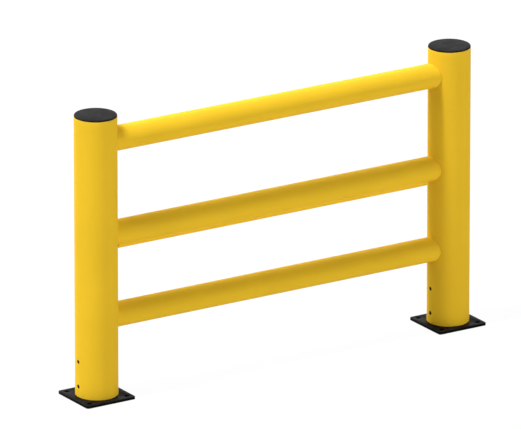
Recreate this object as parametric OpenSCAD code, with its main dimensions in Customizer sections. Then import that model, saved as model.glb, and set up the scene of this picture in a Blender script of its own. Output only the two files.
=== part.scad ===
/* [Bay] */
// Distance between the centres of the two posts
bay_length = 1546; // [1000:2:2000]
// Height from the floor to the rim of the caps
barrier_height = 1092; // [1070:2:1400]

/* [Posts] */
// Outside diameter of a post
post_d = 160; // [140:1:200]
// Wall of a post
post_wall = 8; // [5:0.5:12]
// Chamfer round the bottom edge of a post
foot_chamfer = 2; // [1:0.5:4]
// Rounding of the outer edge at the top of a post
post_top_round = 2; // [1:0.5:4]

/* [Rails] */
// Outside diameter of a rail
rail_d = 94; // [60:1:114]
// Wall of a rail
rail_wall = 6; // [3:0.5:10]
// Height of the centre of the top rail above the base plates
top_rail_z = 975; // [800:1:980]
// Height of the centre of the middle rail above the base plates
middle_rail_z = 612; // [480:1:700]
// Height of the centre of the lower rail above the base plates
lower_rail_z = 294; // [270:1:350]
// How far a rail reaches into a post, from the face of the post
rail_reach = 110; // [60:1:112]
// Gap all round between a rail and its hole in the post
rail_gap = 0.3; // [0.2:0.1:1]

/* [Fin of the middle rail] */
// Depth of the fin below the middle rail
fin_depth = 15; // [8:1:30]
// Thickness of the fin
fin_t = 8; // [4:0.5:12]
// How far each end of the fin stops short of the face of the post
fin_cutback = 15; // [5:1:40]

/* [Caps] */
// Thickness of the rim of a cap above the post
cap_t = 6; // [4:0.5:12]
// Height of the dome on a cap
cap_dome = 4; // [1:0.5:5]
// Rounding of the rim of a cap
cap_round = 4; // [1:0.5:4]
// How far the rim of a cap stands back from the face of the post
cap_inset = 0.5; // [0.5:0.5:4]
// Depth of the plug under a cap
cap_plug_depth = 28; // [10:1:30]
// Wall of the plug under a cap
cap_plug_wall = 4; // [2:0.5:6]
// Gap all round between the plug and the inside of the post
cap_gap = 0.3; // [0.2:0.1:1]

/* [Base plates] */
// Side of a square base plate
plate_side = 210; // [200:1:300]
// Thickness of a base plate
plate_t = 10; // [6:0.5:20]
// Radius of the corners of a base plate
plate_corner_r = 10; // [2:1:20]
// Distance between the centres of two neighbouring anchor holes
anchor_pitch = 160; // [150:1:170]
// Diameter of an anchor hole
anchor_hole_d = 18; // [10:1:20]

/* [Base stubs] */
// Height of a base stub above its plate
stub_h = 180; // [165:1:215]
// Wall of a base stub
stub_wall = 5; // [3:0.5:8]
// Gap all round between a base stub and the inside of the post
stub_gap = 0.3; // [0.2:0.1:1]

/* [Lock pins] */
// Diameter of the cross holes for the lock pins
pin_hole_d = 16; // [10:0.5:20]
// Gap all round between a lock pin and its hole
pin_gap = 0.3; // [0.2:0.1:1]
// Height of the centre of the lower lock pin above the base plate
lower_pin_z = 42; // [25:1:50]
// Distance between the two lock pins of a post
pin_pitch = 96; // [60:1:100]
// How far the ends of a lock pin stand back from the face of the post
pin_recess = 1; // [0.5:0.5:7]
// Chamfer on the ends of a lock pin
pin_chamfer = 1.5; // [0.5:0.5:2]

/* [Hidden] */

left = -1;
right = 1;
round_fn = 96;
arc_steps = 6;
past = 1;
post_r = post_d / 2;
post_bore_r = post_r - post_wall;
post_top_z = barrier_height - cap_t;
rail_r = rail_d / 2;
rail_heights = [top_rail_z, middle_rail_z, lower_rail_z];
rail_span = bay_length - post_d;
rail_length = rail_span + 2 * rail_reach;
fin_length = rail_span - 2 * fin_cutback;
pin_heights = [lower_pin_z, lower_pin_z + pin_pitch];
pin_r = pin_hole_d / 2 - pin_gap;
pin_length = post_d - 2 * pin_recess;
yellow = [0.93, 0.75, 0.15];
black = [0.09, 0.09, 0.10];
dark_steel = [0.20, 0.20, 0.21];

// Points of an arc from the horizontal to the top, centred on c, with radii rx and ry
function arc_up(c, rx, ry, first) =
    [for (i = [first:arc_steps])
        c + [rx * cos(90 * i / arc_steps), ry * sin(90 * i / arc_steps)]];

// Moves what follows to the post on one side of the bay
module at_post(side) {
    translate([side * bay_length / 2, 0, 0])
        children();
}

// A cylinder along X, centred on the origin
module bar_x(d, length) {
    rotate([0, 90, 0])
        cylinder(d = d, h = length, center = true, $fn = round_fn);
}

// Tube of a post with a chamfered foot and a rounded top edge
module post_tube() {
    round_centre = [post_r - post_top_round, post_top_z - post_top_round];
    rotate_extrude($fn = round_fn)
        polygon(concat(
            [
                [post_bore_r, plate_t],
                [post_r - foot_chamfer, plate_t],
                [post_r, plate_t + foot_chamfer]
            ],
            arc_up(round_centre, post_top_round, post_top_round, 0),
            [[post_bore_r, post_top_z]]
        ));
}

// Post at one end of the bay, with holes for the rails on the side of the bay
module post(side) {
    color(yellow)
        at_post(side)
            difference() {
                post_tube();
                for (z = rail_heights)
                    translate([-side * post_r, 0, plate_t + z])
                        bar_x(rail_d + 2 * rail_gap, post_d);
                for (z = pin_heights)
                    translate([0, 0, plate_t + z])
                        bar_x(pin_hole_d, post_d + 2 * past);
            }
}

// Cap that closes a post: slightly domed top, rounded rim and a plug inside the post
module post_cap(side) {
    rim_r = post_r - cap_inset;
    shoulder_r = rim_r - cap_round;
    plug_r = post_bore_r - cap_gap;
    plug_bottom_z = post_top_z - cap_plug_depth;
    color(black)
        at_post(side)
            rotate_extrude($fn = round_fn)
                polygon(concat(
                    [
                        [0, post_top_z],
                        [plug_r - cap_plug_wall, post_top_z],
                        [plug_r - cap_plug_wall, plug_bottom_z],
                        [plug_r, plug_bottom_z],
                        [plug_r, post_top_z],
                        [rim_r, post_top_z]
                    ],
                    arc_up([shoulder_r, barrier_height - cap_round], cap_round, cap_round, 0),
                    arc_up([0, barrier_height], shoulder_r, cap_dome, 1)
                ));
}

// Square base plate with rounded corners and four anchor holes
module base_plate(side) {
    corner_at = plate_side / 2 - plate_corner_r;
    hole_at = anchor_pitch / 2;
    color(black)
        at_post(side)
            difference() {
                linear_extrude(plate_t)
                    union() {
                        square([plate_side, 2 * corner_at], center = true);
                        square([2 * corner_at, plate_side], center = true);
                        for (x = [-corner_at, corner_at], y = [-corner_at, corner_at])
                            translate([x, y])
                                circle(plate_corner_r, $fn = round_fn);
                    }
                for (x = [-hole_at, hole_at], y = [-hole_at, hole_at])
                    translate([x, y, -past])
                        cylinder(d = anchor_hole_d, h = plate_t + 2 * past, $fn = round_fn);
            }
}

// Short tube that stands on a base plate, inside the foot of the post
module base_stub(side) {
    stub_r = post_bore_r - stub_gap;
    color(dark_steel)
        at_post(side)
            translate([0, 0, plate_t])
                difference() {
                    cylinder(r = stub_r, h = stub_h, $fn = round_fn);
                    translate([0, 0, -past])
                        cylinder(r = stub_r - stub_wall, h = stub_h + 2 * past, $fn = round_fn);
                    for (z = pin_heights)
                        translate([0, 0, z])
                            bar_x(pin_hole_d, post_d);
                }
}

// Pin through post and stub, with chamfered ends
module lock_pin(side, z) {
    half = pin_length / 2;
    color(dark_steel)
        at_post(side)
            translate([0, 0, plate_t + z])
                rotate([0, 90, 0])
                    rotate_extrude($fn = round_fn)
                        polygon([
                            [0, -half],
                            [pin_r - pin_chamfer, -half],
                            [pin_r, pin_chamfer - half],
                            [pin_r, half - pin_chamfer],
                            [pin_r - pin_chamfer, half],
                            [0, half]
                        ]);
}

// Round tube between the posts, with its ends inside them
module rail(z) {
    color(yellow)
        translate([0, 0, plate_t + z])
            difference() {
                union() {
                    bar_x(rail_d, rail_length);
                    children();
                }
                bar_x(rail_d - 2 * rail_wall, rail_length + 2 * past);
            }
}

// Flat fin below a rail, cut back at both ends; its top edge lies within the wall of the rail
module fin() {
    height = fin_depth + rail_wall / 2;
    translate([-fin_length / 2, -fin_t / 2, -rail_r - fin_depth])
        cube([fin_length, fin_t, height]);
}

post(left);  // post_left
post(right);  // post_right
post_cap(left);  // post_cap_left
post_cap(right);  // post_cap_right
base_plate(left);  // base_plate_left
base_plate(right);  // base_plate_right
base_stub(left);  // base_stub_left
base_stub(right);  // base_stub_right
lock_pin(left, pin_heights[0]);  // lower_lock_pin_left
lock_pin(right, pin_heights[0]);  // lower_lock_pin_right
lock_pin(left, pin_heights[1]);  // upper_lock_pin_left
lock_pin(right, pin_heights[1]);  // upper_lock_pin_right
rail(top_rail_z);  // top_rail
rail(middle_rail_z) fin();  // middle_rail
rail(lower_rail_z);  // lower_rail
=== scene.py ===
import math
from functools import partial

import bmesh
import bpy
from bpy.props import FloatProperty, FloatVectorProperty, IntProperty, PointerProperty
from mathutils import Matrix, Vector
from mathutils.geometry import delaunay_2d_cdt


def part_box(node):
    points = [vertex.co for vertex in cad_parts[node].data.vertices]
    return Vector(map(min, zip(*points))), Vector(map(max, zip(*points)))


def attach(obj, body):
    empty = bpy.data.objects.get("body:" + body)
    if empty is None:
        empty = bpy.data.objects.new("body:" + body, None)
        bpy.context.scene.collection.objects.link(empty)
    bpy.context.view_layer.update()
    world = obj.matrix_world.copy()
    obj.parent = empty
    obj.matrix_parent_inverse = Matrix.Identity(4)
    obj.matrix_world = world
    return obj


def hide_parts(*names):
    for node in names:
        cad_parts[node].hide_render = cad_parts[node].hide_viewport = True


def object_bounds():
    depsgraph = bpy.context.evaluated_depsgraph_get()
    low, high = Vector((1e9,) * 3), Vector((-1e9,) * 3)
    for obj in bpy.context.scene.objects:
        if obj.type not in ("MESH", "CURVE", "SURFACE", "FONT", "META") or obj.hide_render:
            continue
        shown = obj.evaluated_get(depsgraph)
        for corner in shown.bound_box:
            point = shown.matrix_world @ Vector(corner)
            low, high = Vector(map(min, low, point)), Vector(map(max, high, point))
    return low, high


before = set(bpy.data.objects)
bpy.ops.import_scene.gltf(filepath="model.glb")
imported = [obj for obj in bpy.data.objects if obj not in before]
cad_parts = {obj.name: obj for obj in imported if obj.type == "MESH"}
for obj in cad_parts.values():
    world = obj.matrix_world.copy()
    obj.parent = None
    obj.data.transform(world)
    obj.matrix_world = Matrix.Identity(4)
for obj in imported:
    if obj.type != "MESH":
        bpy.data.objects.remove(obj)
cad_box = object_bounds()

bl_info = {
    "name": "Flexible crash barrier bay",
    "version": (1, 0, 0),
    "blender": (4, 5, 0),
    "location": "3D View > Sidebar > Barrier",
    "description": "Builds the looks of a floor barrier: posts, rails, caps, base plates and lock pins",
    "category": "Object",
}

MM = 0.001
SIDES = {"left": -1, "right": 1}
RAILS = ("top_rail", "middle_rail", "lower_rail")
PIN_ROWS = ("lower_lock_pin", "upper_lock_pin")
WELD = 2e-6
SHARP_ANGLE = math.radians(35.0)
BEVEL_ANGLE = math.radians(40.0)
RIM_STEPS = 4
POST_TOP_STEPS = 5
CAP_ROUND_STEPS = 8
DOME_STEPS = 14
FILLET_STEPS = 4
PLATE_CORNER_STEPS = 12
FIN_EDGE_STEPS = 4
RAIL_HOLE_POINTS = 96
PIN_HOLE_POINTS = 32
RAIL_SIDES = 128
ANCHOR_HOLE_SIDES = 48
PIN_SIDES = 48
HOLE_RINGS = (2.5 * MM, 6.5 * MM)
HOLE_CLEAR = 8.5 * MM
PLUG_LEAD = 1.0 * MM
DUST_COLOUR = (0.42, 0.41, 0.39, 1.0)
# Noise scale of the edge mark, which paints rub marks and, on the yellow parts, a highlight along edges
WEAR_AND_HIGHLIGHT_SCALE = 70.0
DUST_SCALE = 24.0
DUST_ROUGHNESS = 0.5


# Sizes and finishes


def length(name, text, default):
    """A length property in metres."""
    return FloatProperty(
        name=name,
        description=text,
        default=default,
        min=0.0,
        unit="LENGTH",
        precision=4,
    )


def colour(name, text, default):
    """A colour property."""
    return FloatVectorProperty(
        name=name,
        description=text,
        default=default,
        subtype="COLOR",
        min=0.0,
        max=1.0,
    )


class BarrierSizes(bpy.types.PropertyGroup):
    """Sizes that the boxes of the frame don't give"""

    post_wall: length("Post wall", "Wall of a post", 8 * MM)
    foot_chamfer: length("Foot chamfer", "Chamfer round the bottom edge of a post", 2 * MM)
    post_top_round: length("Post top rounding", "Rounding of the outer edge at the top of a post", 2 * MM)
    rail_wall: length("Rail wall", "Wall of a rail", 6 * MM)
    rail_gap: length("Rail gap", "Gap all round between a rail and its hole", 0.3 * MM)
    rail_end_round: length("Rail end rounding", "Rounding of the edges at the ends of a rail", 1.2 * MM)
    rim_round: length("Hole rim rounding", "Rounding of the rim of a rail hole", 0.9 * MM)
    pin_rim_round: length("Pin hole rim rounding", "Rounding of the rim of a pin hole", 0.5 * MM)
    pin_gap: length("Pin gap", "Gap all round between a lock pin and its hole", 0.3 * MM)
    pin_chamfer: length("Pin chamfer", "Chamfer on the ends of a lock pin", 1.5 * MM)
    fin_thickness: length("Fin thickness", "Thickness of the fin below the middle rail", 8 * MM)
    fin_cutback: length("Fin cutback", "How far the fin stops short of the face of a post", 15 * MM)
    fin_edge_round: length("Fin edge rounding", "Rounding of the edges of the fin", 1.0 * MM)
    cap_round: length("Cap rounding", "Rounding of the rim of a cap", 4 * MM)
    cap_dome: length("Cap dome", "Height of the dome on a cap", 4 * MM)
    cap_gap: length("Cap gap", "Gap all round between the plug of a cap and the post", 0.3 * MM)
    cap_plug_wall: length("Cap plug wall", "Wall of the plug under a cap", 4 * MM)
    plate_corner: length("Plate corner", "Radius of the corners of a base plate", 10 * MM)
    plate_edge_round: length("Plate edge rounding", "Rounding of the edges of a base plate", 0.8 * MM)
    anchor_pitch: length("Anchor pitch", "Distance between two neighbouring anchor holes", 160 * MM)
    anchor_hole: length("Anchor hole", "Diameter of an anchor hole", 18 * MM)
    columns: IntProperty(name="Columns", description="Faces round a post", default=128, min=32)
    rows: IntProperty(name="Rows", description="Faces up a post", default=90, min=20)


class BarrierFinish(bpy.types.PropertyGroup):
    """Colours of the barrier and of its stage"""

    post_colour: colour("Posts", "Moulded yellow of the posts", (0.815, 0.51, 0.025))
    rail_colour: colour("Rails", "Extruded yellow of the rails", (0.815, 0.51, 0.025))
    cap_colour: colour("Caps", "Moulded black of the caps", (0.012, 0.012, 0.013))
    plate_colour: colour("Plates", "Powder coat of the base plates", (0.005, 0.005, 0.005))
    steel_colour: colour("Fixings", "Dark coat of the lock pins and stubs", (0.004, 0.004, 0.004))
    floor_colour: colour("Floor", "Pale floor", (0.39, 0.39, 0.39))


# Shader nodes


def add_node(tree, kind, settings=None, **values):
    """Adds a node. settings are its properties, values are its inputs by name or a linked socket."""
    node = tree.nodes.new(kind)
    for name, value in (settings or {}).items():
        setattr(node, name, value)
    for name, value in values.items():
        set_input(tree, node, name.replace("_", " "), value)
    return node


def set_input(tree, node, name, value):
    """Sets one input of a node, or links it where value is a socket."""
    socket = node.inputs[int(name)] if name.isdigit() else node.inputs[name]
    if isinstance(value, bpy.types.NodeSocket):
        tree.links.new(value, socket)
    else:
        socket.default_value = value


def new_group(name, inputs, outputs, kind="ShaderNodeTree"):
    """A node group with named inputs and outputs, given as (name, socket type, default)."""
    group = bpy.data.node_groups.new(name, kind)
    for label, socket_type, value in inputs:
        socket = group.interface.new_socket(name=label, in_out="INPUT", socket_type=socket_type)
        if value is not None:
            socket.default_value = value
    for label, socket_type in outputs:
        group.interface.new_socket(name=label, in_out="OUTPUT", socket_type=socket_type)
    return group, group.nodes.new("NodeGroupInput").outputs, group.nodes.new("NodeGroupOutput").inputs


def math_node(tree, operation, first, second=None, clamp=False):
    """The result of a math node on one or two values or sockets."""
    node = tree.nodes.new("ShaderNodeMath")
    node.operation = operation
    node.use_clamp = clamp
    set_input(tree, node, "0", first)
    if second is not None:
        set_input(tree, node, "1", second)
    return node.outputs[0]


def map_range(tree, value, low, high, to_low, to_high):
    """A value moved smoothly from one range to another."""
    node = add_node(
        tree,
        "ShaderNodeMapRange",
        {"interpolation_type": "SMOOTHSTEP"},
        Value=value,
        From_Min=low,
        From_Max=high,
        To_Min=to_low,
        To_Max=to_high,
    )
    return node.outputs["Result"]


def object_noise(tree, scale, detail):
    """Noise over the object's own coordinates."""
    place = add_node(tree, "ShaderNodeTexCoord")
    noise = add_node(
        tree,
        "ShaderNodeTexNoise",
        Vector=place.outputs["Object"],
        Scale=scale,
        Detail=detail,
    )
    return noise.outputs["Fac"]


def grain_group(name):
    """Noise with its own scale along each axis, for peel, grain and draw lines."""
    group, given, out = new_group(
        name,
        [
            ("Scale", "NodeSocketFloat", 400.0),
            ("Stretch", "NodeSocketVector", (1.0, 1.0, 1.0)),
            ("Detail", "NodeSocketFloat", 3.0),
        ],
        [("Height", "NodeSocketFloat")],
    )
    place = add_node(group, "ShaderNodeTexCoord")
    mapping = add_node(
        group,
        "ShaderNodeMapping",
        Vector=place.outputs["Object"],
        Scale=given["Stretch"],
    )
    noise = add_node(
        group,
        "ShaderNodeTexNoise",
        Vector=mapping.outputs["Vector"],
        Scale=given["Scale"],
        Detail=given["Detail"],
    )
    group.links.new(noise.outputs["Fac"], out["Height"])
    return group


def drift_group(name):
    """A colour that is a little lighter and darker from place to place."""
    group, given, out = new_group(
        name,
        [
            ("Colour", "NodeSocketColor", (0.5, 0.5, 0.5, 1.0)),
            ("Amount", "NodeSocketFloat", 0.04),
            ("Scale", "NodeSocketFloat", 4.0),
        ],
        [("Colour", "NodeSocketColor")],
    )
    noise = object_noise(group, given["Scale"], 4.0)
    low = math_node(group, "SUBTRACT", 1.0, given["Amount"])
    high = math_node(group, "ADD", 1.0, given["Amount"])
    value = map_range(group, noise, 0.3, 0.7, low, high)
    shade = add_node(group, "ShaderNodeHueSaturation", Value=value, Color=given["Colour"])
    group.links.new(shade.outputs["Color"], out["Colour"])
    return group


def edge_group(name):
    """A mask that is 1 along edges and 0 on faces, broken up by noise: for rubbed edges and, on the
    yellow parts, a painted highlight along edges.
    """
    group, given, out = new_group(
        name,
        [
            ("Width", "NodeSocketFloat", 0.0015),
            ("Amount", "NodeSocketFloat", 0.5),
            ("Scale", "NodeSocketFloat", 60.0),
        ],
        [("Mask", "NodeSocketFloat")],
    )
    rounded = add_node(group, "ShaderNodeBevel", {"samples": 4}, Radius=given["Width"])
    surface = add_node(group, "ShaderNodeNewGeometry")
    facing = add_node(group, "ShaderNodeVectorMath", {"operation": "DOT_PRODUCT"})
    set_input(group, facing, "0", rounded.outputs["Normal"])
    set_input(group, facing, "1", surface.outputs["Normal"])
    bend = math_node(group, "SUBTRACT", 1.0, facing.outputs["Value"])
    edge = map_range(group, bend, 0.01, 0.20, 0.0, 1.0)
    noise = object_noise(group, given["Scale"], 5.0)
    broken = map_range(group, noise, 0.35, 0.65, 0.2, 1.0)
    mask = math_node(group, "MULTIPLY", edge, broken)
    group.links.new(math_node(group, "MULTIPLY", mask, given["Amount"]), out["Mask"])
    return group


def dust_group(name):
    """A mask of thin dust that lies on faces that point up."""
    group, given, out = new_group(
        name,
        [("Amount", "NodeSocketFloat", 0.1), ("Scale", "NodeSocketFloat", 30.0)],
        [("Mask", "NodeSocketFloat")],
    )
    surface = add_node(group, "ShaderNodeNewGeometry")
    split = add_node(group, "ShaderNodeSeparateXYZ", Vector=surface.outputs["Normal"])
    up = map_range(group, split.outputs["Z"], 0.4, 0.95, 0.0, 1.0)
    noise = object_noise(group, given["Scale"], 6.0)
    patchy = map_range(group, noise, 0.3, 0.7, 0.3, 1.0)
    mask = math_node(group, "MULTIPLY", up, patchy)
    group.links.new(math_node(group, "MULTIPLY", mask, given["Amount"]), out["Mask"])
    return group


EFFECTS = {
    "Surface grain": grain_group,
    "Colour drift": drift_group,
    "Edge wear": edge_group,
    "Thin dust": dust_group,
}


def effect(tree, name, **values):
    """Places a shared effect in a material and returns its only output."""
    node = tree.nodes.new("ShaderNodeGroup")
    node.node_tree = bpy.data.node_groups[name]
    for label, value in values.items():
        set_input(tree, node, label, value)
    return node.outputs[0]


def mix_colour(tree, mask, first, second):
    """The first colour where the mask is 0 and the second where it is 1."""
    node = add_node(tree, "ShaderNodeMix", {"data_type": "RGBA"})
    set_input(tree, node, "0", mask)
    set_input(tree, node, "6", first)
    set_input(tree, node, "7", second)
    return node.outputs[2]


def finish_material(name, tint, look):
    """A finish with drifting colour, edges made lighter for rub marks and a painted highlight, thin dust,
    uneven gloss and a fine bump.
    """
    material = bpy.data.materials.new(name)
    material.use_nodes = True
    tree = material.node_tree
    shader = tree.nodes["Principled BSDF"]
    shader.inputs["IOR"].default_value = look["ior"]
    shader.inputs["Specular IOR Level"].default_value = look["specular"]
    base = effect(
        tree,
        "Colour drift",
        Colour=(*tint, 1.0),
        Amount=look["drift"],
        Scale=look["drift_scale"],
    )
    # Edges get a lighter colour: rub marks, and on the yellow posts and rails a painted highlight along
    # edges and hole rims
    wear_and_highlight = effect(tree, "Edge wear", Width=look["wear_and_highlight_width"], Amount=look["wear_and_highlight"], Scale=WEAR_AND_HIGHLIGHT_SCALE)
    worn_and_highlit = mix_colour(tree, wear_and_highlight, base, (*look["wear_and_highlight_colour"], 1.0))
    dust = effect(tree, "Thin dust", Amount=look["dust"], Scale=DUST_SCALE)
    dusty = mix_colour(tree, dust, worn_and_highlit, DUST_COLOUR)
    tree.links.new(dusty, shader.inputs["Base Color"])
    stretch = look["grain_stretch"]
    grain = effect(tree, "Surface grain", Scale=look["grain_scale"], Stretch=stretch, Detail=3.0)
    patches = effect(tree, "Surface grain", Scale=look["patch_scale"], Stretch=stretch, Detail=5.0)
    smooth = look["rough"] - look["rough_spread"]
    matt = look["rough"] + look["rough_spread"]
    gloss = map_range(tree, patches, 0.3, 0.7, smooth, matt)
    dulled = math_node(tree, "MULTIPLY", dust, DUST_ROUGHNESS)
    rougher = math_node(tree, "ADD", gloss, dulled, clamp=True)
    tree.links.new(rougher, shader.inputs["Roughness"])
    wave = math_node(tree, "MULTIPLY", patches, look["wave"])
    height = math_node(tree, "ADD", grain, wave)
    bump = add_node(
        tree,
        "ShaderNodeBump",
        Strength=look["bump"],
        Distance=look["depth"],
        Height=height,
    )
    tree.links.new(bump.outputs["Normal"], shader.inputs["Normal"])
    return material


# The finish of each material slot; the width of the edge mark and depth are in metres. The lighter edge
# colour of the yellow posts and rails is partly rub marks and partly a painted highlight
LOOKS = {
    "post_plastic": {
        "ior": 1.49,
        "specular": 0.018,
        "drift": 0.02,
        "drift_scale": 5.0,
        "wear_and_highlight": 0.25,
        "wear_and_highlight_width": 0.0016,
        # lighter yellow on edges and hole rims: rub marks and a painted highlight
        "wear_and_highlight_colour": (0.90, 0.66, 0.16),
        "dust": 0.01,
        "grain_scale": 900.0,
        "grain_stretch": (1.0, 1.0, 0.5),
        "patch_scale": 26.0,
        "rough": 0.50,
        "rough_spread": 0.06,
        "wave": 2.0,
        "bump": 0.25,
        "depth": 0.0004,
    },
    "rail_plastic": {
        "ior": 1.49,
        "specular": 0.018,
        "drift": 0.02,
        "drift_scale": 5.0,
        "wear_and_highlight": 0.25,
        "wear_and_highlight_width": 0.0016,
        # lighter yellow on edges: rub marks and a painted highlight
        "wear_and_highlight_colour": (0.90, 0.66, 0.16),
        "dust": 0.01,
        "grain_scale": 700.0,
        "grain_stretch": (0.03, 1.0, 1.0),
        "patch_scale": 90.0,
        "rough": 0.48,
        "rough_spread": 0.06,
        "wave": 1.0,
        "bump": 0.22,
        "depth": 0.0004,
    },
    "cap_plastic": {
        "ior": 1.49,
        "specular": 0.010,
        "drift": 0.10,
        "drift_scale": 14.0,
        "wear_and_highlight": 0.35,
        "wear_and_highlight_width": 0.0020,
        "wear_and_highlight_colour": (0.05, 0.05, 0.05),
        "dust": 0.03,
        "grain_scale": 1400.0,
        "grain_stretch": (1.0, 1.0, 1.0),
        "patch_scale": 60.0,
        "rough": 0.48,
        "rough_spread": 0.07,
        "wave": 0.6,
        "bump": 0.45,
        "depth": 0.0004,
    },
    "plate_coating": {
        "ior": 1.50,
        "specular": 0.009,
        "drift": 0.12,
        "drift_scale": 12.0,
        "wear_and_highlight": 0.4,
        "wear_and_highlight_width": 0.0018,
        "wear_and_highlight_colour": (0.03, 0.03, 0.03),
        "dust": 0.02,
        "grain_scale": 520.0,
        "grain_stretch": (1.0, 1.0, 1.0),
        "patch_scale": 40.0,
        "rough": 0.30,
        "rough_spread": 0.06,
        "wave": 0.8,
        "bump": 0.35,
        "depth": 0.0005,
    },
    "fixing_steel": {
        "ior": 1.50,
        "specular": 0.006,
        "drift": 0.15,
        "drift_scale": 40.0,
        "wear_and_highlight": 0.3,
        "wear_and_highlight_width": 0.0010,
        "wear_and_highlight_colour": (0.02, 0.02, 0.02),
        "dust": 0.0,
        "grain_scale": 900.0,
        "grain_stretch": (1.0, 1.0, 1.0),
        "patch_scale": 90.0,
        "rough": 0.50,
        "rough_spread": 0.08,
        "wave": 0.5,
        "bump": 0.35,
        "depth": 0.0003,
    },
}


def material_for(slot):
    """The finish of a material slot, made the first time it is asked for."""
    name = slot + "_finish"
    if name in bpy.data.materials:
        return bpy.data.materials[name]
    for label, make in EFFECTS.items():
        if label not in bpy.data.node_groups:
            make(label)
    finish = bpy.context.scene.barrier_finish
    tint = {
        "post_plastic": finish.post_colour,
        "rail_plastic": finish.rail_colour,
        "cap_plastic": finish.cap_colour,
        "plate_coating": finish.plate_colour,
        "fixing_steel": finish.steel_colour,
    }[slot]
    return finish_material(name, tint, LOOKS[slot])


# Meshes


def piece_from(name, mesh, slot, nodes):
    """A finished piece that stands for CAD nodes, rides on the root and has a slot's finish."""
    if not mesh.polygons:
        raise RuntimeError(name + " has no faces")
    mesh.materials.clear()
    mesh.materials.append(material_for(slot))
    piece = bpy.data.objects.new(name, mesh)
    bpy.context.scene.collection.objects.link(piece)
    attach(piece, "root")
    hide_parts(*nodes)
    return piece


def mesh_from(name, bm):
    """Welds and closes the faces in bm, turns them outwards and smooths all but sharp edges."""
    bmesh.ops.remove_doubles(bm, verts=bm.verts, dist=WELD)
    bmesh.ops.recalc_face_normals(bm, faces=bm.faces)
    mesh = bpy.data.meshes.new(name)
    bm.to_mesh(mesh)
    bm.free()
    mesh.shade_smooth()
    mesh.set_sharp_from_angle(angle=SHARP_ANGLE)
    return mesh


def strip(bm, first, second):
    """Faces between two rings of as many points."""
    a = [bm.verts.new(p) for p in first]
    b = [bm.verts.new(p) for p in second]
    for i in range(len(a)):
        j = (i + 1) % len(a)
        bm.faces.new((a[i], a[j], b[j], b[i]))


def lathe(bm, profile, steps):
    """Turns a closed profile of (radius, height) round Z, with its points on the axis merged."""
    turns = [2 * math.pi * i / steps for i in range(steps)]
    rings = []
    for radius, height in profile:
        rings.append([(radius * math.cos(turn), radius * math.sin(turn), height) for turn in turns])
    for first, second in zip(rings, rings[1:]):
        strip(bm, first, second)
    bmesh.ops.remove_doubles(bm, verts=bm.verts, dist=WELD)


def arc(centre, radii, steps):
    """Points of a quarter arc from the horizontal up to the top."""
    return [
        (
            centre[0] + radii[0] * math.cos(math.pi / 2 * i / steps),
            centre[1] + radii[1] * math.sin(math.pi / 2 * i / steps),
        )
        for i in range(steps + 1)
    ]


class Hole:
    """A round hole along X through the wall of a post, at the angle 0 or pi."""

    def __init__(self, angle, height, radius, rim, points):
        self.angle = angle
        self.height = height
        self.radius = radius
        self.rim = rim
        self.points = points

    def ring(self, tube_radius, hole_radius):
        """Angle and height of the points where the hole meets a tube of that radius."""
        found = []
        for i in range(self.points):
            turn = 2 * math.pi * i / self.points
            across = hole_radius * math.cos(turn)
            angle = self.angle + math.asin(across / tube_radius)
            found.append((angle, self.height + hole_radius * math.sin(turn)))
        return found

    def holds(self, tube_radius, angle, height, hole_radius):
        """Whether a point of the tube lies in the hole."""
        if math.cos(angle - self.angle) < 0:
            return False
        across = tube_radius * math.sin(angle - self.angle)
        return math.hypot(across, height - self.height) < hole_radius


def on_tube(centre, radius, angle, height):
    """The place of a point of a tube round Z."""
    return (centre.x + radius * math.cos(angle), centre.y + radius * math.sin(angle), height)


def tube_face(bm, centre, radius, heights, columns, holes, with_rims):
    """The wall of a tube with its holes left open, each wider by its rim where with_rims is set."""
    start = -math.pi / 2
    points = []
    edges = []
    open_radius = [hole.radius + (hole.rim if with_rims else 0.0) for hole in holes]
    kept = list(zip(holes, open_radius))
    for hole, hole_radius in kept:
        first = len(points)
        points.extend(hole.ring(radius, hole_radius))
        count = hole.points
        edges.extend((first + i, first + (i + 1) % count) for i in range(count))
        for step in HOLE_RINGS:
            points.extend(hole.ring(radius, hole_radius + step))
    for z in heights:
        for i in range(columns + 1):
            angle = start + 2 * math.pi * i / columns
            if not any(h.holds(radius, angle, z, r + HOLE_CLEAR) for h, r in kept):
                points.append((angle, z))
    flat = [Vector((radius * angle, z)) for angle, z in points]
    verts, _, faces, _, _, _ = delaunay_2d_cdt(flat, edges, [], 0, 1e-9)
    made = [bm.verts.new(on_tube(centre, radius, v.x / radius, v.y)) for v in verts]
    for face in faces:
        angle = sum(verts[i].x for i in face) / len(face) / radius
        z = sum(verts[i].y for i in face) / len(face)
        if not any(h.holds(radius, angle, z, r * math.cos(math.pi / h.points)) for h, r in kept):
            bm.faces.new([made[i] for i in face])


def ring_round(centre, radius, height, columns):
    """The points of a level ring of a post."""
    turns = [-math.pi / 2 + 2 * math.pi * i / columns for i in range(columns)]
    return [on_tube(centre, radius, turn, height) for turn in turns]


def post_holes(side, sizes):
    """The rail holes on the bay's side of a post and the pin holes on both sides."""
    bay_angle = 0.0 if SIDES[side] < 0 else math.pi
    holes = []
    for name in RAILS:
        low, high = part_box(name)
        radius = (high.y - low.y) / 2
        open_radius = radius + sizes.rail_gap
        holes.append(Hole(bay_angle, high.z - radius, open_radius, sizes.rim_round, RAIL_HOLE_POINTS))
    for row in PIN_ROWS:
        low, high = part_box(row + "_" + side)
        middle = (low.z + high.z) / 2
        open_radius = (high.z - low.z) / 2 + sizes.pin_gap
        for angle in (0.0, math.pi):
            holes.append(Hole(angle, middle, open_radius, sizes.pin_rim_round, PIN_HOLE_POINTS))
    return holes


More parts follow.
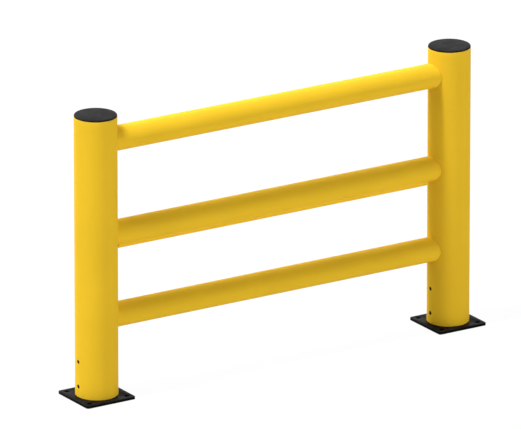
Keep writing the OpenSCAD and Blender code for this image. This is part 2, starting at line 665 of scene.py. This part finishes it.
def post_mesh(side, sizes):
    """A hollow post with rounded rims at its holes, a chamfered foot and a rounded top edge."""
    low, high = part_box("post_" + side)
    centre = (low + high) / 2
    outer = (high.y - low.y) / 2
    inner = outer - sizes.post_wall
    columns = sizes.columns
    foot = low.z + sizes.foot_chamfer
    shoulder = high.z - sizes.post_top_round
    holes = post_holes(side, sizes)
    bm = bmesh.new()
    for radius, start, end, rims in ((outer, foot, shoulder, True), (inner, low.z, high.z, False)):
        heights = [start + (end - start) * i / sizes.rows for i in range(sizes.rows + 1)]
        tube_face(bm, centre, radius, heights, columns, holes, rims)
    for hole in holes:
        rings = []
        for i in range(RIM_STEPS + 1):
            turn = math.pi / 2 * i / RIM_STEPS
            hole_radius = hole.radius + hole.rim * (1 - math.sin(turn))
            radius = outer - hole.rim * (1 - math.cos(turn))
            rings.append([on_tube(centre, radius, a, z) for a, z in hole.ring(radius, hole_radius)])
        rings.append([on_tube(centre, inner, a, z) for a, z in hole.ring(inner, hole.radius)])
        for first, second in zip(rings, rings[1:]):
            strip(bm, first, second)
    bottom = [(inner, low.z), (outer - sizes.foot_chamfer, low.z), (outer, foot)]
    rounding = (sizes.post_top_round, sizes.post_top_round)
    top = arc((outer - sizes.post_top_round, shoulder), rounding, POST_TOP_STEPS)
    top.append((inner, high.z))
    for profile in (bottom, top):
        rings = [ring_round(centre, radius, z, columns) for radius, z in profile]
        for first, second in zip(rings, rings[1:]):
            strip(bm, first, second)
    return mesh_from("post_" + side, bm)


def cap_mesh(side, sizes):
    """A cap with a slightly domed top, a rounded rim and a plug that reaches into the post."""
    low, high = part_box("post_cap_" + side)
    post_low, post_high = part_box("post_" + side)
    centre = (low + high) / 2
    seat = post_high.z
    rim = (high.y - low.y) / 2
    plug = (post_high.y - post_low.y) / 2 - sizes.post_wall - sizes.cap_gap
    shoulder = rim - sizes.cap_round
    rim_top = high.z - sizes.cap_dome
    bore = plug - sizes.cap_plug_wall
    profile = [
        (0.0, seat),
        (bore, seat),
        (bore, low.z),
        (plug - PLUG_LEAD, low.z),
        (plug, low.z + PLUG_LEAD),
        (plug, seat),
        (rim, seat),
    ]
    rounding = (sizes.cap_round, sizes.cap_round)
    profile += arc((shoulder, rim_top - sizes.cap_round), rounding, CAP_ROUND_STEPS)
    for i in range(1, DOME_STEPS + 1):
        turn = math.pi / 2 * i / DOME_STEPS
        profile.append((shoulder * math.cos(turn), rim_top + sizes.cap_dome * math.sin(turn)))
    bm = bmesh.new()
    lathe(bm, profile, sizes.columns)
    bmesh.ops.translate(bm, verts=bm.verts, vec=(centre.x, centre.y, 0.0))
    return mesh_from("cap_" + side, bm)


# Geometry nodes


def geometry_tree(name, inputs):
    """An empty geometry node tree with named inputs and one geometry output."""
    tree, given, out = new_group(
        name,
        [*inputs, ("Material", "NodeSocketMaterial", None)],
        [("Geometry", "NodeSocketGeometry")],
        "GeometryNodeTree",
    )
    tree.is_modifier = True
    return tree, given, out


def end_tree(tree, given, out, geometry):
    """Ends a tree: its instances are made real and it gets its material."""
    real = add_node(tree, "GeometryNodeRealizeInstances", Geometry=geometry)
    smooth = add_node(tree, "GeometryNodeSetShadeSmooth", Geometry=real.outputs["Geometry"])
    painted = add_node(
        tree,
        "GeometryNodeSetMaterial",
        Geometry=smooth.outputs["Geometry"],
        Material=given["Material"],
    )
    tree.links.new(painted.outputs["Geometry"], out["Geometry"])


def rounded_corners(tree, curve, radius, steps):
    """A curve with its corners rounded in straight steps."""
    return add_node(
        tree,
        "GeometryNodeFilletCurve",
        {"mode": "POLY"},
        Curve=curve,
        Radius=radius,
        Count=steps,
    )


def tube_tree():
    """A tube along X: a rounded wall section that goes round a circle."""
    name = "Tube with rounded ends"
    if name in bpy.data.node_groups:
        return bpy.data.node_groups[name]
    tree, given, out = geometry_tree(
        name,
        [
            ("Length", "NodeSocketFloat", 1.0),
            ("Diameter", "NodeSocketFloat", 0.1),
            ("Wall", "NodeSocketFloat", 0.005),
            ("End rounding", "NodeSocketFloat", 0.001),
            ("Sides", "NodeSocketInt", 96),
            ("Centre", "NodeSocketVector", (0.0, 0.0, 0.0)),
        ],
    )
    section = add_node(
        tree,
        "GeometryNodeCurvePrimitiveQuadrilateral",
        Width=given["Wall"],
        Height=given["Length"],
    )
    rounded = rounded_corners(tree, section.outputs["Curve"], given["End rounding"], FILLET_STEPS)
    rounded.inputs["Limit Radius"].default_value = True
    outer = math_node(tree, "SUBTRACT", given["Diameter"], given["Wall"])
    middle = math_node(tree, "MULTIPLY", outer, 0.5)
    path = add_node(
        tree,
        "GeometryNodeCurvePrimitiveCircle",
        Resolution=given["Sides"],
        Radius=middle,
    )
    swept = add_node(
        tree,
        "GeometryNodeCurveToMesh",
        Curve=path.outputs["Curve"],
        Profile_Curve=rounded.outputs["Curve"],
    )
    placed = add_node(
        tree,
        "GeometryNodeTransform",
        Geometry=swept.outputs["Mesh"],
        Translation=given["Centre"],
        Rotation=(0.0, math.pi / 2, 0.0),
    )
    end_tree(tree, given, out, placed.outputs["Geometry"])
    return tree


def plate_tree():
    """A square plate with rounded corners and a hole at each corner of a smaller square."""
    tree, given, out = geometry_tree(
        "Base plate",
        [
            ("Side", "NodeSocketFloat", 0.2),
            ("Thickness", "NodeSocketFloat", 0.01),
            ("Corner", "NodeSocketFloat", 0.01),
            ("Hole diameter", "NodeSocketFloat", 0.018),
            ("Hole pitch", "NodeSocketFloat", 0.16),
            ("Centre", "NodeSocketVector", (0.0, 0.0, 0.0)),
        ],
    )
    square = add_node(
        tree,
        "GeometryNodeCurvePrimitiveQuadrilateral",
        Width=given["Side"],
        Height=given["Side"],
    )
    outline = rounded_corners(tree, square.outputs["Curve"], given["Corner"], PLATE_CORNER_STEPS)
    places = add_node(
        tree,
        "GeometryNodeMeshGrid",
        Size_X=given["Hole pitch"],
        Size_Y=given["Hole pitch"],
        Vertices_X=2,
        Vertices_Y=2,
    )
    radius = math_node(tree, "MULTIPLY", given["Hole diameter"], 0.5)
    circle = add_node(
        tree,
        "GeometryNodeCurvePrimitiveCircle",
        Resolution=ANCHOR_HOLE_SIDES,
        Radius=radius,
    )
    holes = add_node(
        tree,
        "GeometryNodeInstanceOnPoints",
        Points=places.outputs["Mesh"],
        Instance=circle.outputs["Curve"],
    )
    loops = add_node(tree, "GeometryNodeRealizeInstances", Geometry=holes.outputs["Instances"])
    together = add_node(tree, "GeometryNodeJoinGeometry")
    tree.links.new(outline.outputs["Curve"], together.inputs["Geometry"])
    tree.links.new(loops.outputs["Geometry"], together.inputs["Geometry"])
    sheet = add_node(
        tree,
        "GeometryNodeFillCurve",
        {"mode": "NGONS"},
        Curve=together.outputs["Geometry"],
    )
    raised = add_node(
        tree,
        "GeometryNodeExtrudeMesh",
        Mesh=sheet.outputs["Mesh"],
        Offset=(0.0, 0.0, 1.0),
        Offset_Scale=given["Thickness"],
        Individual=False,
    )
    under = add_node(tree, "GeometryNodeFlipFaces", Mesh=sheet.outputs["Mesh"])
    closed = add_node(tree, "GeometryNodeJoinGeometry")
    tree.links.new(raised.outputs["Mesh"], closed.inputs["Geometry"])
    tree.links.new(under.outputs["Mesh"], closed.inputs["Geometry"])
    welded = add_node(
        tree,
        "GeometryNodeMergeByDistance",
        Geometry=closed.outputs["Geometry"],
        Distance=WELD,
    )
    placed = add_node(
        tree,
        "GeometryNodeTransform",
        Geometry=welded.outputs["Geometry"],
        Translation=given["Centre"],
    )
    end_tree(tree, given, out, placed.outputs["Geometry"])
    return tree


def pin_tree():
    """The lock pins: a round bar along X at each corner of an upright rectangle."""
    tree, given, out = geometry_tree(
        "Lock pins",
        [
            ("Length", "NodeSocketFloat", 0.15),
            ("Diameter", "NodeSocketFloat", 0.015),
            ("Across", "NodeSocketFloat", 1.5),
            ("Apart", "NodeSocketFloat", 0.1),
            ("Centre", "NodeSocketVector", (0.0, 0.0, 0.0)),
        ],
    )
    radius = math_node(tree, "MULTIPLY", given["Diameter"], 0.5)
    bar = add_node(
        tree,
        "GeometryNodeMeshCylinder",
        Vertices=PIN_SIDES,
        Radius=radius,
        Depth=given["Length"],
    )
    lying = add_node(
        tree,
        "GeometryNodeTransform",
        Geometry=bar.outputs["Mesh"],
        Rotation=(0.0, math.pi / 2, 0.0),
    )
    grid = add_node(
        tree,
        "GeometryNodeMeshGrid",
        Size_X=given["Across"],
        Size_Y=given["Apart"],
        Vertices_X=2,
        Vertices_Y=2,
    )
    upright = add_node(
        tree,
        "GeometryNodeTransform",
        Geometry=grid.outputs["Mesh"],
        Translation=given["Centre"],
        Rotation=(math.pi / 2, 0.0, 0.0),
    )
    pins = add_node(
        tree,
        "GeometryNodeInstanceOnPoints",
        Points=upright.outputs["Geometry"],
        Instance=lying.outputs["Geometry"],
    )
    end_tree(tree, given, out, pins.outputs["Instances"])
    return tree


def bevel(holder, width, segments):
    """Adds a bevel on the sharp edges."""
    rounding = holder.modifiers.new("Edges", "BEVEL")
    rounding.width = width
    rounding.segments = segments
    rounding.limit_method = "ANGLE"
    rounding.angle_limit = BEVEL_ANGLE
    rounding.use_clamp_overlap = False


def plain_mesh(name, tree, values, slot, add_more=None):
    """The plain mesh of a tree with these inputs. add_more adds modifiers and returns their helper."""
    holder = bpy.data.objects.new("holder", bpy.data.meshes.new("holder"))
    bpy.context.scene.collection.objects.link(holder)
    maker = holder.modifiers.new("Shape", "NODES")
    maker.node_group = tree
    values = {**values, "Material": material_for(slot)}
    for socket in tree.interface.items_tree:
        if socket.item_type == "SOCKET" and socket.in_out == "INPUT":
            value = values[socket.name]
            maker[socket.identifier] = list(value) if isinstance(value, Vector) else value
    helper = add_more(holder) if add_more else None
    bpy.context.view_layer.update()
    graph = bpy.context.evaluated_depsgraph_get()
    shape = holder.evaluated_get(graph)
    mesh = bpy.data.meshes.new_from_object(shape, preserve_all_data_layers=True, depsgraph=graph)
    holder.modifiers.clear()
    bpy.data.objects.remove(holder)
    if helper is not None:
        bpy.data.objects.remove(helper)
    bm = bmesh.new()
    bm.from_mesh(mesh)
    bpy.data.meshes.remove(mesh)
    return mesh_from(name, bm)


def rail_box(name):
    """Centre, length and diameter of a rail; the fin below a rail doesn't count."""
    low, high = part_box(name)
    diameter = high.y - low.y
    centre = Vector(((low.x + high.x) / 2, (low.y + high.y) / 2, high.z - diameter / 2))
    return centre, high.x - low.x, diameter


def add_fin(holder, sizes):
    """Joins the fin below the middle rail, with rounded edges, to the rail and returns it."""
    centre, _, diameter = rail_box("middle_rail")
    post_left_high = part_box("post_left")[1]
    post_right_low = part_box("post_right")[0]
    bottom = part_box("middle_rail")[0].z
    top = centre.z - diameter / 2 + sizes.rail_wall / 2
    start = post_left_high.x + sizes.fin_cutback
    end = post_right_low.x - sizes.fin_cutback
    bm = bmesh.new()
    bmesh.ops.create_cube(bm, size=1.0)
    bmesh.ops.scale(bm, verts=bm.verts, vec=(end - start, sizes.fin_thickness, top - bottom))
    bmesh.ops.translate(bm, verts=bm.verts, vec=((start + end) / 2, centre.y, (top + bottom) / 2))
    bmesh.ops.bevel(
        bm,
        geom=list(bm.edges),
        offset=sizes.fin_edge_round,
        segments=FIN_EDGE_STEPS,
        profile=0.5,
        affect="EDGES",
    )
    mesh = bpy.data.meshes.new("fin")
    bm.to_mesh(mesh)
    bm.free()
    fin = bpy.data.objects.new("fin", mesh)
    bpy.context.scene.collection.objects.link(fin)
    join = holder.modifiers.new("Fin", "BOOLEAN")
    join.operation = "UNION"
    join.solver = "EXACT"
    join.object = fin
    return fin


# Operators


class BARRIER_OT_posts(bpy.types.Operator):
    """Builds both posts with their rail holes and pin holes"""

    bl_idname = "barrier.posts"
    bl_label = "Posts"

    def execute(self, context):
        for side in SIDES:
            mesh = post_mesh(side, context.scene.barrier_sizes)
            piece_from("moulded_post_" + side, mesh, "post_plastic", ["post_" + side])
        return {"FINISHED"}


class BARRIER_OT_caps(bpy.types.Operator):
    """Builds the domed caps on both posts"""

    bl_idname = "barrier.caps"
    bl_label = "Caps"

    def execute(self, context):
        for side in SIDES:
            mesh = cap_mesh(side, context.scene.barrier_sizes)
            piece_from("domed_cap_" + side, mesh, "cap_plastic", ["post_cap_" + side])
        return {"FINISHED"}


class BARRIER_OT_rails(bpy.types.Operator):
    """Builds the three rails, the middle one with its fin"""

    bl_idname = "barrier.rails"
    bl_label = "Rails"

    def execute(self, context):
        sizes = context.scene.barrier_sizes
        for name in RAILS:
            centre, rail_length, diameter = rail_box(name)
            values = {
                "Length": rail_length,
                "Diameter": diameter,
                "Wall": sizes.rail_wall,
                "End rounding": sizes.rail_end_round,
                "Sides": RAIL_SIDES,
                "Centre": centre,
            }
            fin = partial(add_fin, sizes=sizes) if name == "middle_rail" else None
            mesh = plain_mesh("tube_" + name, tube_tree(), values, "rail_plastic", fin)
            piece_from("tube_" + name, mesh, "rail_plastic", [name])
        return {"FINISHED"}


class BARRIER_OT_plates(bpy.types.Operator):
    """Builds both base plates with their anchor holes"""

    bl_idname = "barrier.plates"
    bl_label = "Base plates"

    def execute(self, context):
        sizes = context.scene.barrier_sizes
        tree = plate_tree()
        edges = partial(bevel, width=sizes.plate_edge_round, segments=3)
        for side in SIDES:
            low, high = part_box("base_plate_" + side)
            values = {
                "Side": high.x - low.x,
                "Thickness": high.z - low.z,
                "Corner": sizes.plate_corner,
                "Hole diameter": sizes.anchor_hole,
                "Hole pitch": sizes.anchor_pitch,
                "Centre": Vector(((low.x + high.x) / 2, (low.y + high.y) / 2, low.z)),
            }
            mesh = plain_mesh("plate_" + side, tree, values, "plate_coating", edges)
            piece_from("foot_plate_" + side, mesh, "plate_coating", ["base_plate_" + side])
        return {"FINISHED"}


class BARRIER_OT_fixings(bpy.types.Operator):
    """Builds the four lock pins and gives the base stubs their finish"""

    bl_idname = "barrier.fixings"
    bl_label = "Lock pins and stubs"

    def execute(self, context):
        sizes = context.scene.barrier_sizes
        nodes = [row + "_" + side for row in PIN_ROWS for side in SIDES]
        lower_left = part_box("lower_lock_pin_left")
        upper_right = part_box("upper_lock_pin_right")
        first = (lower_left[0] + lower_left[1]) / 2
        last = (upper_right[0] + upper_right[1]) / 2
        values = {
            "Length": lower_left[1].x - lower_left[0].x,
            "Diameter": lower_left[1].y - lower_left[0].y,
            "Across": last.x - first.x,
            "Apart": last.z - first.z,
            "Centre": (first + last) / 2,
        }
        ends = partial(bevel, width=sizes.pin_chamfer, segments=2)
        mesh = plain_mesh("lock_pins", pin_tree(), values, "fixing_steel", ends)
        piece_from("lock_pin_set", mesh, "fixing_steel", nodes)
        for side in SIDES:
            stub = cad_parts["base_stub_" + side]
            for holder in stub.material_slots:
                holder.material = material_for("fixing_steel")
        return {"FINISHED"}


# Stage

CAMERA_AZIMUTH = -32.44
CAMERA_ELEVATION = 18.60
CAMERA_DISTANCE = 44.8
CAMERA_LENS = 836.8
AIM_LEFT = 0.0497
AIM_UP = 0.0171
FLOOR_SIDE = 120.0
FLOOR_ROUGHNESS = 0.9

# Name, azimuth, elevation, strength and width of each lamp, with the angles in degrees
LAMPS = [
    ("key_high", -95.0, 70.0, 1.41, 4.0),
    ("key_middle", -95.0, 60.0, 1.57, 4.0),
    ("left_low", -100.0, 45.0, 0.64, 9.0),
    ("left_fill", -120.0, 35.0, 0.74, 35.0),
    ("back_fill", 180.0, 35.0, 1.97, 35.0),
    ("right_back", 120.0, 35.0, 0.84, 35.0),
    ("front_fill", 0.0, -2.0, 2.09, 35.0),
    ("right_fill", 30.0, -2.0, 1.32, 35.0),
]
WORLD_STRENGTH = 0.03
WHITE_SHARE = 0.90
WHITE_STRENGTH = 1.06


def direction(azimuth, elevation):
    """Unit vector from the object towards a place that is seen at that azimuth and elevation."""
    a = math.radians(azimuth)
    e = math.radians(elevation)
    return Vector((math.sin(a) * math.cos(e), -math.cos(a) * math.cos(e), math.sin(e)))


def aim(place, target):
    """The matrix of a camera or lamp at a place, turned to a target."""
    turn = (place - target).to_track_quat("Z", "Y").to_matrix().to_4x4()
    return Matrix.Translation(place) @ turn


def add_camera():
    """The camera, far away on a long lens."""
    low, high = cad_box
    back = direction(CAMERA_AZIMUTH, CAMERA_ELEVATION)
    right = Vector((0, 0, 1)).cross(back).normalized()
    up = back.cross(right)
    target = (Vector(low) + Vector(high)) / 2 - right * AIM_LEFT + up * AIM_UP
    data = bpy.data.cameras.new("camera")
    data.lens = CAMERA_LENS
    data.sensor_width = 36.0
    data.clip_start = 1.0
    data.clip_end = 400.0
    camera = bpy.data.objects.new("camera", data)
    camera.matrix_world = aim(target + back * CAMERA_DISTANCE, target)
    bpy.context.scene.collection.objects.link(camera)
    bpy.context.scene.camera = camera


def add_lamp(name, azimuth, elevation, strength, softness):
    """A soft distant lamp."""
    data = bpy.data.lights.new(name, "SUN")
    data.energy = strength
    data.angle = math.radians(softness)
    lamp = bpy.data.objects.new(name, data)
    lamp.matrix_world = aim(direction(azimuth, elevation) * 5.0, Vector((0, 0, 0)))
    bpy.context.scene.collection.objects.link(lamp)


def seen_directly(tree):
    """1 for rays from the camera, from gloss and through clear things, else 0."""
    rays = add_node(tree, "ShaderNodeLightPath").outputs
    camera_or_clear = math_node(tree, "MAXIMUM", rays["Is Camera Ray"], rays["Is Transmission Ray"])
    return math_node(tree, "MAXIMUM", camera_or_clear, rays["Is Glossy Ray"])


def add_world():
    """A plain sky that reads white to the camera and in reflections."""
    world = bpy.data.worlds.new("studio")
    world.use_nodes = True
    bpy.context.scene.world = world
    tree = world.node_tree
    background = tree.nodes["Background"]
    strength = map_range(tree, seen_directly(tree), 0.0, 1.0, WORLD_STRENGTH, 1.0)
    background.inputs["Color"].default_value = (1.0, 1.0, 1.0, 1.0)
    tree.links.new(strength, background.inputs["Strength"])


def add_floor():
    """A pale floor that reads white to the camera and keeps a faint shadow."""
    half = FLOOR_SIDE / 2
    bm = bmesh.new()
    corners = ((-half, -half, 0.0), (half, -half, 0.0), (half, half, 0.0), (-half, half, 0.0))
    bm.faces.new([bm.verts.new(corner) for corner in corners])
    mesh = bpy.data.meshes.new("floor")
    bm.to_mesh(mesh)
    bm.free()
    material = bpy.data.materials.new("pale_floor")
    material.use_nodes = True
    tree = material.node_tree
    shader = tree.nodes["Principled BSDF"]
    tint = bpy.context.scene.barrier_finish.floor_colour
    shader.inputs["Base Color"].default_value = (*tint, 1.0)
    shader.inputs["Roughness"].default_value = FLOOR_ROUGHNESS
    white = add_node(tree, "ShaderNodeEmission", Strength=WHITE_STRENGTH)
    part = math_node(tree, "MULTIPLY", seen_directly(tree), WHITE_SHARE)
    mix = add_node(tree, "ShaderNodeMixShader")
    set_input(tree, mix, "0", part)
    set_input(tree, mix, "1", shader.outputs["BSDF"])
    set_input(tree, mix, "2", white.outputs["Emission"])
    tree.links.new(mix.outputs["Shader"], tree.nodes["Material Output"].inputs["Surface"])
    mesh.materials.append(material)
    floor = bpy.data.objects.new("floor", mesh)
    bpy.context.scene.collection.objects.link(floor)


class BARRIER_OT_stage(bpy.types.Operator):
    """Builds the camera, the lamps, the sky and the floor"""

    bl_idname = "barrier.stage"
    bl_label = "Stage"

    def execute(self, context):
        context.scene.view_settings.view_transform = "Standard"
        add_camera()
        add_world()
        add_floor()
        for lamp in LAMPS:
            add_lamp(*lamp)
        return {"FINISHED"}


class BARRIER_PT_panel(bpy.types.Panel):
    """Lists the steps that build the barrier"""

    bl_label = "Crash barrier"
    bl_idname = "BARRIER_PT_panel"
    bl_space_type = "VIEW_3D"
    bl_region_type = "UI"
    bl_category = "Barrier"

    def draw(self, context):
        for operator in STEPS:
            self.layout.operator(operator.bl_idname)


STEPS = (
    BARRIER_OT_stage,
    BARRIER_OT_posts,
    BARRIER_OT_caps,
    BARRIER_OT_rails,
    BARRIER_OT_plates,
    BARRIER_OT_fixings,
)
CLASSES = (BarrierSizes, BarrierFinish, *STEPS, BARRIER_PT_panel)


def register():
    for item in CLASSES:
        bpy.utils.register_class(item)
    bpy.types.Scene.barrier_sizes = PointerProperty(type=BarrierSizes)
    bpy.types.Scene.barrier_finish = PointerProperty(type=BarrierFinish)


def unregister():
    del bpy.types.Scene.barrier_finish
    del bpy.types.Scene.barrier_sizes
    for item in reversed(CLASSES):
        bpy.utils.unregister_class(item)


def main():
    """Builds everything in order."""
    register()
    for operator in STEPS:
        group, name = operator.bl_idname.split(".")
        getattr(getattr(bpy.ops, group), name)()


if __name__ == "__main__":
    main()
